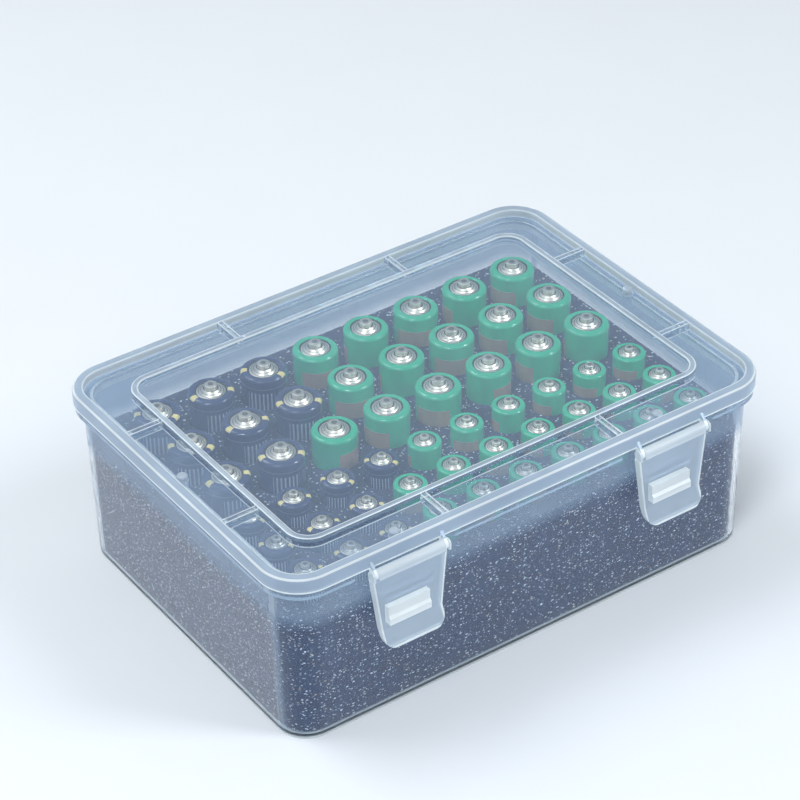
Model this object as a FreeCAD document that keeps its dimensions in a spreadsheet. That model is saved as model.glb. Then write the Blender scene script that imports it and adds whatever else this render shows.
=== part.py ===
import FreeCAD, Part
import math
import os
import Sketcher
from FreeCAD import Vector

# Translucent case for 24 large and 30 small round cells, with a foam insert, a rear-hinged lid
# and two front snap latches. Millimetres, Z up, X along the front, Y to the back.
# The origin is under the middle of the case, on the surface it stands on.

doc = FreeCAD.newDocument("battery_case")

# Driving dimensions
sizeRows = [
    # Box: a drafted tray, whose brim stands inside the lid's edge
    ("lid_length", 173.5), ("lid_depth", 124.6),
    ("brim_inset", 2.28), ("brim_corner", 12.25), ("draft_inset", 1.5), ("foot_corner", 9.75),
    ("foot_round", 1.5), ("box_wall", 1.6), ("floor_wall", 1.8), ("head_room", 2.55),
    ("collar_inset", 0.5), ("collar_height", 2.3), ("collar_gap", 0.1),
    ("collar_stop", 15.0), ("collar_taper", 2.4),
    # Lid: skirt, rim, lowered border, ridge frame round the clear panel
    ("lid_corner", 13.1), ("lid_seat", 0.2), ("skirt_height", 4.9), ("skirt_wall", 1.2),
    ("skirt_round", 0.3), ("rim_width", 3.4), ("rim_channel", 1.0), ("rim_round", 0.88),
    ("rim_inner_round", 0.3), ("panel_wall", 1.2),
    ("border_drop", 2.0), ("lip_gap", 0.75), ("lip_wall", 1.0), ("lip_reach", 2.8),
    ("ridge_from_end", 14.3), ("ridge_from_side", 13.9), ("ridge_width", 2.2),
    ("ridge_corner", 8.0), ("ridge_rise", 0.5), ("window_drop", 0.55),
    ("rib_width", 2.4), ("peg_radius", 1.7), ("peg_inset", 5.8), ("peg_drop", 0.3),
    ("peg_reach", 4.4), ("peg_round", 0.7),
    # Front latches and their ears on the lid
    ("barrel_radius", 1.5), ("barrel_gap", 0.15), ("pivot_drop", 1.2),
    ("ear_inside", 11.4), ("ear_width", 0.95), ("ear_radius", 1.4), ("ear_gap", 0.1),
    ("ear_web", 4.2), ("cap_width", 0.65), ("trunnion_radius", 0.8), ("trunnion_gap", 0.08),
    ("bar_drop", 1.6), ("plate_wall", 1.4), ("plate_front", 0.1), ("plate_top", 12.5),
    ("plate_bend", 10.4), ("plate_lean", 0.45), ("bend_drop", 20.4), ("tip_drop", 26.2), ("tip_out", 3.05),
    ("tip_round", 3.8), ("flange_wall", 1.0), ("flange_reach", 0.8), ("flange_drop", 2.6),
    ("grip_left", 8.9), ("grip_right", 5.2), ("grip_top", 11.8), ("grip_step", 14.8),
    ("grip_foot", 17.7), ("grip_rise", 2.0), ("grip_lower_rise", 2.7), ("grip_slope", 0.8),
    ("hook_half", 8.0), ("hook_top", 9.0), ("hook_height", 2.8), ("hook_reach", 2.2),
    ("catch_gap", 0.2), ("catch_height", 1.7), ("catch_slope", 2.4), ("catch_bite", 1.0),
    # Rear hinge: rods and ears on the box, claws on the lid
    ("hinge_out", 2.3), ("hinge_drop", 1.0), ("rod_radius", 1.4),
    ("claw_gap", 0.1), ("claw_wall", 0.9), ("claw_half", 4.0), ("claw_side", 0.3),
    ("claw_mouth", 2.2), ("claw_web", 0.9), ("lug_width", 2.0), ("lug_wall", 0.5),
    ("lug_drop", 7.5), ("lug_shoulder", 0.6),
    # Foam insert
    ("foam_drop", 15.0), ("foam_gap", 0.3), ("hole_gap", 0.15), ("aa_floor", 4.95), ("aaa_sink", 3.74),
    # Cells, large (aa) and small (aaa)
    ("aa_radius", 7.1), ("aa_length", 50.5), ("aa_disc", 4.45), ("aa_nub", 1.95),
    ("aa_nub_height", 2.5), ("aa_shoulder", 1.1), ("aa_opening", 4.95),
    ("aaa_radius", 5.15), ("aaa_length", 44.5), ("aaa_disc", 3.15), ("aaa_nub", 1.4),
    ("aaa_nub_height", 1.9), ("aaa_shoulder", 0.8), ("aaa_opening", 3.55),
    ("sleeve_wall", 0.16), ("sleeve_lift", 0.3), ("sleeve_proud", 0.25), ("nest_gap", 0.03),
    ("can_wall", 0.25), ("disc_wall", 0.35), ("nub_round", 0.3),
    ("seal_wall", 0.6), ("core_head", 2.4),
    # Cuts run this far past the faces that they leave through
    ("overrun", 2.0),
]

aaColumns, aaRows = 8, 3
aaaColumns, aaaRows = 10, 3
aaDark = [3, 3, 2]      # dark-jacketed cells at the left end of each row, back row first
aaaDark = [4, 3, 3]

# Centres of the latches and hinge rods, as shares of the lid's length from its middle
latchShare = 0.27
hingeShare = 0.26

# Ribs on the lid's border, as shares of its length and depth from its middle
ribShares = (0.1787, 0.2071)

# Pressed steps of a cap: where each slope starts and ends as shares of the disc's radius,
# and the level it climbs to as a share of the nub's height
capSteps = ((0.84, 0.74, 0.2), (0.66, 0.56, 0.42))

# Rounding of the ridge's top edges, as a share of its rise
ridgeRoundShare = 0.7

# Columns and rows of holes: pitches and back rows, as shares of the box's inside length and depth
columnShares = {"aa": 0.1134, "aaa": 0.0928}
rowShares = {"aa": 0.164, "aaa": 0.1256}
backRowShares = {"aa": 0.3376, "aaa": -0.1347}

# Where a web leaves the round eye of an ear, as shares of the eye's radius
eyeTopShare = (-0.68, 0.73)
eyeFootShare = (0.86, -0.51)

sheet = doc.addObject("Spreadsheet::Sheet", "sizes")
for rowNumber, (alias, number) in enumerate(sizeRows, 1):
    sheet.set(f"A{rowNumber}", alias)
    sheet.set(f"B{rowNumber}", str(number))
    sheet.setAlias(f"B{rowNumber}", alias)
doc.recompute()


class Size:
    """A length: its value, and the sheet expression that gives it."""

    def __init__(self, value, text):
        self.value = value
        self.text = text

    def join(self, other, sign, value):
        text = other.text if isinstance(other, Size) else repr(other)
        return Size(value, f"({self.text} {sign} {text})")

    def __add__(self, other):
        return self.join(other, "+", self.value + valueOf(other))

    def __sub__(self, other):
        return self.join(other, "-", self.value - valueOf(other))

    def __mul__(self, other):
        return self.join(other, "*", self.value * valueOf(other))

    def __truediv__(self, other):
        return self.join(other, "/", self.value / valueOf(other))

    def __neg__(self):
        return Size(-self.value, f"(0 - {self.text})")

    __rmul__ = __mul__
    __radd__ = __add__


def valueOf(size):
    return size.value if isinstance(size, Size) else size


def size(alias):
    return Size(float(sheet.get(alias)), f"sizes.{alias}")


nothing = Size(0.0, "0")


# Sketch helpers

def sketchOn(body, name, role, height):
    """A sketch on one of the body's own origin planes, moved along its normal."""
    sketch = body.newObject("Sketcher::SketchObject", name)
    plane = next(item for item in body.Origin.OriginFeatures if item.Role == role)
    sketch.AttachmentSupport = [(plane, "")]
    sketch.MapMode = "FlatFace"
    sketch.setExpression("AttachmentOffset.Base.z", height.text)
    return sketch


def tie(sketch, kind, *items):
    """Adds a constraint whose last item is a Size."""
    *where, length = items
    index = sketch.addConstraint(Sketcher.Constraint(kind, *where, length.value))
    sketch.setExpression(f"Constraints[{index}]", length.text)


def pin(sketch, element, end, across, up):
    """Places one point of the sketch by its distances from the origin."""
    for kind, axis, length in (("DistanceX", -2, across), ("DistanceY", -1, up)):
        if length.value:
            tie(sketch, kind, -1, 1, element, end, length)
        else:
            sketch.addConstraint(Sketcher.Constraint("PointOnObject", element, end, axis))


def circle(sketch, across, up, radius):
    centre = Vector(across.value, up.value, 0)
    element = sketch.addGeometry(Part.Circle(centre, Vector(0, 0, 1), radius.value), False)
    pin(sketch, element, 3, across, up)
    tie(sketch, "Radius", element, radius)


def outline(sketch, corners):
    """A closed outline. Each corner is (across, up), or (across, up, radius) where it is round."""
    points = [Vector(corner[0].value, corner[1].value, 0) for corner in corners]
    rounds = [corner[2] if len(corner) > 2 else None for corner in corners]
    count = len(corners)
    leaves = []
    reaches = []
    for index, point in enumerate(points):
        before = (points[index - 1] - point).normalize()
        after = (points[(index + 1) % count] - point).normalize()
        if rounds[index] is None:
            back = 0
        else:
            back = rounds[index].value / math.tan(before.getAngle(after) / 2)
        reaches.append(point + before * back)
        leaves.append(point + after * back)
    lines = []
    for index in range(count):
        line = Part.LineSegment(leaves[index], reaches[(index + 1) % count])
        lines.append(sketch.addGeometry(line, False))
    for index, point in enumerate(points):
        lineIn = lines[index - 1]
        lineOut = lines[index]
        across, up = corners[index][:2]
        if rounds[index] is None:
            sketch.addConstraint(Sketcher.Constraint("Coincident", lineIn, 2, lineOut, 1))
            pin(sketch, lineOut, 1, across, up)
            continue
        radius = rounds[index].value
        inward = (reaches[index] + leaves[index]) / 2 - point
        spread = (leaves[index] - reaches[index]).Length / 2
        half = math.asin(min(1, spread / radius))
        centre = point + inward.normalize() * (radius / math.cos(half))
        middle = centre + (point - centre).normalize() * radius
        arc = Part.Arc(reaches[index], middle, leaves[index])
        element = sketch.addGeometry(arc, False)
        turnsLeft = (point - reaches[index]).cross(leaves[index] - point).z > 0
        first, last = (1, 2) if turnsLeft else (2, 1)
        corner = sketch.addGeometry(Part.Point(point), True)
        pin(sketch, corner, 1, across, up)
        sketch.addConstraint(Sketcher.Constraint("PointOnObject", corner, 1, lineIn))
        sketch.addConstraint(Sketcher.Constraint("PointOnObject", corner, 1, lineOut))
        sketch.addConstraint(Sketcher.Constraint("Tangent", lineIn, 2, element, first))
        sketch.addConstraint(Sketcher.Constraint("Tangent", element, last, lineOut, 1))
        tie(sketch, "Radius", element, rounds[index])


def rectangle(sketch, left, right, front, back, radius=None):
    corners = [(right, front), (right, back), (left, back), (left, front)]
    if radius is not None:
        corners = [corner + (radius,) for corner in corners]
    outline(sketch, corners)


def centred(sketch, length, depth, radius=None):
    rectangle(sketch, -length / 2, length / 2, -depth / 2, depth / 2, radius)


# Solid helpers

def grow(body, sketch, length):
    """Pads the sketch along its normal."""
    pad = body.newObject("PartDesign::Pad", sketch.Name + "_pad")
    pad.Profile = sketch
    pad.setExpression("Length", length.text)
    doc.recompute()
    return pad


def cut(body, sketch, length, upward=False):
    """Pockets the sketch against its normal, or along it, and makes sure that it cuts."""
    before = body.Shape.Volume
    pocket = body.newObject("PartDesign::Pocket", sketch.Name + "_cut")
    pocket.Profile = sketch
    pocket.setExpression("Length", length.text)
    pocket.Reversed = upward
    doc.recompute()
    if not body.Shape.Volume < before:
        raise ValueError(f"{pocket.Name} cuts nothing")
    return pocket


def loft(body, kind, name, lower, upper):
    """A drafted block between two centred rounded rectangles, each (height, length, depth, radius)."""
    sketches = []
    for part, (height, length, depth, radius) in (("lower", lower), ("upper", upper)):
        sketch = sketchOn(body, f"{name}_{part}", "XY_Plane", height)
        centred(sketch, length, depth, radius)
        sketches.append(sketch)
    feature = body.newObject(kind, name)
    feature.Profile = sketches[0]
    feature.Sections = [sketches[1]]
    feature.Ruled = True
    doc.recompute()
    return feature


def roundEdges(body, name, radius, wanted):
    """Fillets every edge of the body's tip that the test picks."""
    base = body.Tip
    names = [f"Edge{number}" for number, edge in enumerate(base.Shape.Edges, 1) if wanted(edge)]
    fillet = body.newObject("PartDesign::Fillet", name)
    fillet.Base = (base, names)
    fillet.setExpression("Radius", radius.text)
    doc.recompute()


def atHeight(level):
    """Picks the edges that lie flat at one height."""
    slack = size("nest_gap").value
    return lambda edge: all(abs(vertex.Z - level.value) < slack for vertex in edge.Vertexes)


def within(level, acrossLimit, alongLimit):
    """Picks the edges at one height that stay inside a rectangle round the origin."""
    flat = atHeight(level)
    return lambda edge: flat(edge) and all(
        abs(vertex.X) < acrossLimit.value and abs(vertex.Y) < alongLimit.value
        for vertex in edge.Vertexes)


def newBody(label):
    body = doc.addObject("PartDesign::Body", label)
    body.Label = label
    return body


# Sizes and places that several pieces share
overrun = size("overrun")
brimLength = size("lid_length") - 2 * size("brim_inset")
brimDepth = size("lid_depth") - 2 * size("brim_inset")
footLength = brimLength - 2 * size("draft_inset")
footDepth = brimDepth - 2 * size("draft_inset")
cellTop = size("aa_floor") + size("aa_length")
boxHeight = cellTop + size("head_room")
foamTop = boxHeight - size("foam_drop")
cellFloors = {"aa": size("aa_floor"), "aaa": cellTop - size("aaa_sink") - size("aaa_length")}
panelUnder = boxHeight + size("lid_seat")
borderTop = panelUnder + size("panel_wall")
rimTop = borderTop + size("border_drop")
skirtBottom = rimTop - size("skirt_height")
skirtFace = size("lid_depth") / 2
pivotOut = skirtFace + size("barrel_gap") + size("barrel_radius")
pivotHeight = skirtBottom - size("pivot_drop")
hingeOut = skirtFace + size("hinge_out")
hingeHeight = skirtBottom - size("hinge_drop")
latchPlaces = [-latchShare * size("lid_length"), latchShare * size("lid_length")]
hingePlaces = [-hingeShare * size("lid_length"), hingeShare * size("lid_length")]


def makeBox():
    """Drafted tray, collar with a gap at each latch, latch catches and the rear hinge rods."""
    body = newBody("base_box")
    collarTop = skirtBottom - size("collar_gap")
    collarBottom = collarTop - size("collar_height")
    collar = sketchOn(body, "collar", "XY_Plane", collarBottom)
    centred(collar, size("lid_length") - 2 * size("collar_inset"),
            size("lid_depth") - 2 * size("collar_inset"), size("lid_corner") - size("collar_inset"))
    grow(body, collar, size("collar_height"))
    gaps = sketchOn(body, "collar_gaps", "XY_Plane", collarBottom - overrun)
    wallMiddle = (brimDepth - size("box_wall")) / 2
    for place in latchPlaces:
        narrow = size("collar_stop")
        wide = narrow + size("collar_taper")
        outline(gaps, [(place - wide, -skirtFace), (place + wide, -skirtFace),
                       (place + narrow, -wallMiddle), (place - narrow, -wallMiddle)])
    cut(body, gaps, size("collar_height") + 2 * overrun, upward=True)
    loft(body, "PartDesign::AdditiveLoft", "shell",
         (nothing, footLength, footDepth, size("foot_corner")),
         (boxHeight, brimLength, brimDepth, size("brim_corner")))
    roundEdges(body, "foot_edge", size("foot_round"), atHeight(nothing))
    wallFace = footDepth / 2
    catchFoot = pivotHeight - size("hook_top") + size("catch_gap")
    plateBack = size("plate_wall") - size("plate_front")
    catchTip = pivotOut - plateBack - size("hook_reach") + size("catch_bite")
    for name, place in zip(("left", "right"), latchPlaces):
        catch = sketchOn(body, f"catch_{name}", "YZ_Plane", place - size("hook_half"))
        outline(catch, [(-wallFace, catchFoot), (-catchTip, catchFoot),
                        (-catchTip, catchFoot + size("catch_height")),
                        (-wallFace, catchFoot + size("catch_height") + size("catch_slope"))])
        grow(body, catch, 2 * size("hook_half"))
    lugReach = size("claw_half") + size("claw_side")
    lugRadius = size("rod_radius") + size("lug_wall")
    shoulder = skirtBottom - size("lug_shoulder")
    for name, place in zip(("left", "right"), hingePlaces):
        for side, start in (("inner", -lugReach - size("lug_width")), ("outer", lugReach)):
            eye = sketchOn(body, f"lug_eye_{name}_{side}", "YZ_Plane", place + start)
            circle(eye, hingeOut, hingeHeight, lugRadius)
            grow(body, eye, size("lug_width"))
            web = sketchOn(body, f"lug_web_{name}_{side}", "YZ_Plane", place + start)
            outline(web, [(wallFace, shoulder - size("lug_drop")),
                          (hingeOut + lugRadius * eyeFootShare[0], hingeHeight + lugRadius * eyeFootShare[1]),
                          (hingeOut - lugRadius, hingeHeight), (hingeOut - lugRadius, shoulder),
                          (wallFace, shoulder)])
            grow(body, web, size("lug_width"))
        rod = sketchOn(body, f"rod_{name}", "YZ_Plane", place - lugReach - size("lug_width") / 2)
        circle(rod, hingeOut, hingeHeight, size("rod_radius"))
        grow(body, rod, 2 * lugReach + size("lug_width"))
    wall = 2 * size("box_wall")
    inner = size("box_wall")
    before = body.Shape.Volume
    loft(body, "PartDesign::SubtractiveLoft", "hollow",
         (size("floor_wall"), footLength - wall, footDepth - wall, size("foot_corner") - inner),
         (boxHeight + overrun, brimLength - wall, brimDepth - wall, size("brim_corner") - inner))
    if not body.Shape.Volume < before:
        raise ValueError("the hollow cuts nothing")
    return body


def makeLid():
    """Skirted lid with a rim, a lowered border, a framed clear panel, ears and claws."""
    body = newBody("lid")
    length, depth, radius = size("lid_length"), size("lid_depth"), size("lid_corner")

    def inset(name, amount, height):
        sketch = sketchOn(body, name, "XY_Plane", height)
        centred(sketch, length - 2 * amount, depth - 2 * amount, radius - amount)
        return sketch

    grow(body, inset("rim", nothing, skirtBottom), size("skirt_height"))
    roundEdges(body, "rim_edge", size("rim_round"), atHeight(rimTop))
    cut(body, inset("border", size("rim_width"), rimTop), size("border_drop"))
    rimMiddle = size("rim_width") / 2
    roundEdges(body, "rim_inner_edge", size("rim_inner_round"),
               within(rimTop, length / 2 - rimMiddle, depth / 2 - rimMiddle))
    cut(body, inset("underside", size("skirt_wall"), skirtBottom), panelUnder - skirtBottom, upward=True)
    roundEdges(body, "skirt_edge", size("skirt_round"), atHeight(skirtBottom))
    channel = inset("channel", size("skirt_wall"), panelUnder)
    channelInner = size("skirt_wall") + size("rim_channel")
    centred(channel, length - 2 * channelInner, depth - 2 * channelInner, radius - channelInner)
    cut(body, channel, rimTop - size("panel_wall") - panelUnder, upward=True)

    # Inner lip, which locates the lid inside the box wall
    lipOff = size("box_wall") + size("lip_gap")
    lip = sketchOn(body, "lip", "XY_Plane", panelUnder - size("lip_reach"))
    for amount in (lipOff, lipOff + size("lip_wall")):
        centred(lip, brimLength - 2 * amount, brimDepth - 2 * amount, size("brim_corner") - amount)
    grow(body, lip, size("lip_reach") + size("panel_wall") / 2)

    # Ribs across the border, cleared again inside the ridge frame
    ribs = sketchOn(body, "ribs_across", "XY_Plane", borderTop)
    half = size("rib_width") / 2
    stop = size("rim_width") - size("panel_wall") / 2
    reachX = length / 2 - stop
    reachY = depth / 2 - stop
    for place in (-ribShares[0] * length, ribShares[0] * length):
        rectangle(ribs, place - half, place + half, -reachY, reachY)
    grow(body, ribs, size("border_drop"))
    ribs = sketchOn(body, "ribs_along", "XY_Plane", borderTop)
    for place in (-ribShares[1] * depth, ribShares[1] * depth):
        rectangle(ribs, -reachX, reachX, place - half, place + half)
    grow(body, ribs, size("border_drop"))
    ridgeSize = (length - 2 * size("ridge_from_end"), depth - 2 * size("ridge_from_side"),
                 size("ridge_corner"))
    clearing = sketchOn(body, "clearing", "XY_Plane", rimTop)
    centred(clearing, *ridgeSize)
    cut(body, clearing, size("border_drop"))

    # Ridge frame and the clear panel, which lies a little higher than the border
    ridge = sketchOn(body, "ridge", "XY_Plane", borderTop)
    centred(ridge, *ridgeSize)
    grow(body, ridge, size("border_drop") + size("ridge_rise"))
    width = size("ridge_width")
    panelSize = (ridgeSize[0] - 2 * width, ridgeSize[1] - 2 * width, ridgeSize[2] - width)
    panelTop = rimTop - size("window_drop")
    above = sketchOn(body, "panel_top", "XY_Plane", rimTop + size("ridge_rise"))
    centred(above, *panelSize)
    cut(body, above, size("ridge_rise") + size("window_drop"))
    roundEdges(body, "ridge_edge", ridgeRoundShare * size("ridge_rise"),
               atHeight(rimTop + size("ridge_rise")))
    below = sketchOn(body, "panel_under", "XY_Plane", panelUnder)
    centred(below, *panelSize)
    cut(body, below, panelTop - size("panel_wall") - panelUnder, upward=True)

    # Pegs just inside the rim: one behind each latch, one at the middle of each end
    pegs = sketchOn(body, "pegs", "XY_Plane", rimTop - size("peg_drop") - size("peg_reach"))
    pegX = length / 2 - size("peg_inset")
    pegY = depth / 2 - size("peg_inset")
    for across, along in ((pegX, nothing), (-pegX, nothing), (latchPlaces[0], -pegY),
                          (latchPlaces[1], -pegY)):
        circle(pegs, across, along, size("peg_radius"))
    grow(body, pegs, size("peg_reach"))
    roundEdges(body, "peg_edge", size("peg_round"), atHeight(rimTop - size("peg_drop")))

    # Ears that carry the latches
    eye = size("ear_radius")
    skirtMiddle = skirtFace - size("skirt_wall") / 2
    for name, place in zip(("left", "right"), latchPlaces):
        for side, start in (("inner", -size("ear_inside") - size("ear_width")),
                            ("outer", size("ear_inside"))):
            ear = sketchOn(body, f"ear_eye_{name}_{side}", "YZ_Plane", place + start)
            circle(ear, -pivotOut, pivotHeight, eye)
            grow(body, ear, size("ear_width"))
            web = sketchOn(body, f"ear_web_{name}_{side}", "YZ_Plane", place + start)
            outline(web, [(-skirtMiddle, skirtBottom), (-skirtMiddle, pivotHeight + size("ear_web")),
                          (eye * eyeTopShare[0] - pivotOut, pivotHeight + eye * eyeTopShare[1]),
                          (eye * eyeFootShare[0] - pivotOut, pivotHeight + eye * eyeFootShare[1])])
            grow(body, web, size("ear_width"))
        reach = size("ear_inside") + size("ear_width") + overrun
        bore = sketchOn(body, f"ear_bore_{name}", "YZ_Plane", place - reach)
        circle(bore, -pivotOut, pivotHeight, size("trunnion_radius") + size("trunnion_gap"))
        cut(body, bore, 2 * reach, upward=True)

    # Claws that snap over the rods on the box
    clawRadius = size("rod_radius") + size("claw_gap") + size("claw_wall")
    clawWidth = 2 * size("claw_half")
    for name, place in zip(("left", "right"), hingePlaces):
        start = place - size("claw_half")
        claw = sketchOn(body, f"claw_{name}", "YZ_Plane", start)
        circle(claw, hingeOut, hingeHeight, clawRadius)
        grow(body, claw, clawWidth)
        web = sketchOn(body, f"claw_web_{name}", "YZ_Plane", start)
        rectangle(web, skirtMiddle, hingeOut, skirtBottom, skirtBottom + size("claw_web"))
        grow(body, web, clawWidth)
        bore = sketchOn(body, f"claw_bore_{name}", "YZ_Plane", start)
        circle(bore, hingeOut, hingeHeight, size("rod_radius") + size("claw_gap"))
        cut(body, bore, clawWidth, upward=True)
        mouth = sketchOn(body, f"claw_mouth_{name}", "YZ_Plane", start)
        rectangle(mouth, hingeOut - size("claw_mouth") / 2, hingeOut + size("claw_mouth") / 2,
                  hingeHeight - clawRadius - overrun, hingeHeight)
        cut(body, mouth, clawWidth, upward=True)
    return body


def makeLatch(label, place):
    """Snap latch, drawn about its pivot: barrel with end caps, tapered plate, grip and hook."""
    body = newBody(label)
    capEnd = size("ear_inside") + size("ear_width") + size("ear_gap") + size("cap_width")
    plateBack = size("plate_wall") - size("plate_front")
    barFront = -size("barrel_radius")
    barrel = sketchOn(body, "barrel", "YZ_Plane", -capEnd)
    circle(barrel, nothing, nothing, size("barrel_radius"))
    grow(body, barrel, 2 * capEnd)
    bar = sketchOn(body, "bar", "YZ_Plane", -capEnd)
    outline(bar, [(barFront, nothing), (barFront, -size("bar_drop")), (plateBack, -size("bar_drop")),
                  (plateBack, nothing)])
    grow(body, bar, 2 * capEnd)

    # Plate with its side flanges and the tail that tilts outward
    plateHalf = size("plate_top")
    flangeBack = plateBack + size("flange_reach")
    plateFront = -size("plate_front")
    tipBack = plateBack - size("tip_out") + size("plate_front")
    lean = size("plate_lean")
    plate = sketchOn(body, "plate", "YZ_Plane", -plateHalf)
    outline(plate, [(plateFront, nothing), (plateFront, -size("bar_drop")),
                    (plateFront - lean, -size("bend_drop")),
                    (-size("tip_out"), -size("tip_drop")), (tipBack, -size("tip_drop")),
                    (flangeBack - lean, -size("bend_drop")), (flangeBack, -size("flange_drop")),
                    (plateBack, -size("flange_drop")), (plateBack, nothing)])
    grow(body, plate, 2 * plateHalf)
    front = size("tip_out") + overrun
    through = front + flangeBack + overrun
    shape = sketchOn(body, "plate_outline", "XZ_Plane", front)
    side = capEnd + overrun
    outline(shape, [(-side, -size("bar_drop")), (-side, -size("tip_drop") - overrun),
                    (side, -size("tip_drop") - overrun), (side, -size("bar_drop")),
                    (plateHalf, -size("bar_drop")), (plateHalf, -size("flange_drop")),
                    (size("plate_bend"), -size("bend_drop")),
                    (size("plate_bend"), -size("tip_drop"), size("tip_round")),
                    (-size("plate_bend"), -size("tip_drop"), size("tip_round")),
                    (-size("plate_bend"), -size("bend_drop")),
                    (-plateHalf, -size("flange_drop")), (-plateHalf, -size("bar_drop"))])
    cut(body, shape, through)
    wall = size("flange_wall")
    hollow = sketchOn(body, "plate_hollow", "XZ_Plane", -plateBack)
    outline(hollow, [(wall - size("plate_bend"), -size("tip_drop")),
                     (size("plate_bend") - wall, -size("tip_drop")),
                     (size("plate_bend") - wall, -size("bend_drop")),
                     (plateHalf - wall, -size("flange_drop") - wall),
                     (wall - plateHalf, -size("flange_drop") - wall),
                     (wall - size("plate_bend"), -size("bend_drop"))])
    cut(body, hollow, size("flange_reach") + overrun)

    # Hook that engages under the catch on the box
    hook = sketchOn(body, "hook", "YZ_Plane", -size("hook_half"))
    rectangle(hook, plateFront, plateBack + size("hook_reach"),
              -size("hook_top") - size("hook_height"), -size("hook_top"))
    grow(body, hook, 2 * size("hook_half"))

    # Stepped finger grip, off centre to the left
    grip = sketchOn(body, "grip", "YZ_Plane", -size("grip_left"))
    upper = plateFront - size("grip_rise")
    lower = plateFront - size("grip_lower_rise")
    outline(grip, [(plateBack - lean, -size("grip_top")),
                   (upper, -size("grip_top")), (upper, -size("grip_step")),
                   (lower, -size("grip_step") - size("grip_slope")), (lower, -size("grip_foot")),
                   (plateBack - lean, -size("grip_foot"))])
    grow(body, grip, size("grip_left") + size("grip_right"))

    # Notches for the ears, crossed by the trunnions
    for side, start in (("left", -size("ear_inside") - size("ear_width") - size("ear_gap")),
                        ("right", size("ear_inside") - size("ear_gap"))):
        notch = sketchOn(body, f"notch_{side}", "YZ_Plane", start)
        reach = size("barrel_radius") + overrun
        rectangle(notch, -reach, reach, -size("bar_drop") - size("ear_gap"), reach)
        cut(body, notch, size("ear_width") + 2 * size("ear_gap"), upward=True)
    trunnion = sketchOn(body, "trunnion", "YZ_Plane", -capEnd)
    circle(trunnion, nothing, nothing, size("trunnion_radius"))
    grow(body, trunnion, 2 * capEnd)
    body.setExpression("Placement.Base.x", place.text)
    body.setExpression("Placement.Base.y", (-pivotOut).text)
    body.setExpression("Placement.Base.z", pivotHeight.text)
    return body


def cellPlaces(kind, columns, rows):
    """Centres of one kind of cell, back row first, left to right."""
    inside = brimLength - 2 * size("box_wall"), brimDepth - 2 * size("box_wall")
    places = []
    for row in range(rows):
        along = inside[1] * (backRowShares[kind] - row * rowShares[kind])
        for column in range(columns):
            across = inside[0] * columnShares[kind] * (column - (columns - 1) / 2)
            places.append((across, along))
    return places


def makeFoam():
    """Foam block with one blind hole for each cell."""
    body = newBody("foam_insert")
    inset = size("box_wall") + size("foam_gap")
    climb = (foamTop - size("floor_wall")) / boxHeight
    widening = 2 * size("draft_inset") * climb
    cornerGain = (size("brim_corner") - size("foot_corner")) * climb
    loft(body, "PartDesign::AdditiveLoft", "block",
         (size("floor_wall"), footLength - 2 * inset, footDepth - 2 * inset,
          size("foot_corner") - inset),
         (foamTop, footLength + widening - 2 * inset, footDepth + widening - 2 * inset,
          size("foot_corner") + cornerGain - inset))
    for kind, columns, rows in (("aa", aaColumns, aaRows), ("aaa", aaaColumns, aaaRows)):
        holes = sketchOn(body, kind + "_holes", "XY_Plane", foamTop)
        for across, along in cellPlaces(kind, columns, rows):
            circle(holes, across, along, size(kind + "_radius") + size("hole_gap"))
        cut(body, holes, foamTop - cellFloors[kind])
    return body


def turned(label, corners):
    """A body turned about Z from its half section."""
    body = newBody(label)
    profile = sketchOn(body, label + "_profile", "XZ_Plane", nothing)
    outline(profile, corners)
    turn = body.newObject("PartDesign::Revolution", label + "_turn")
    turn.Profile = profile
    turn.ReferenceAxis = (profile, ["V_Axis"])
    turn.Angle = 360
    doc.recompute()
    return body


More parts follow.
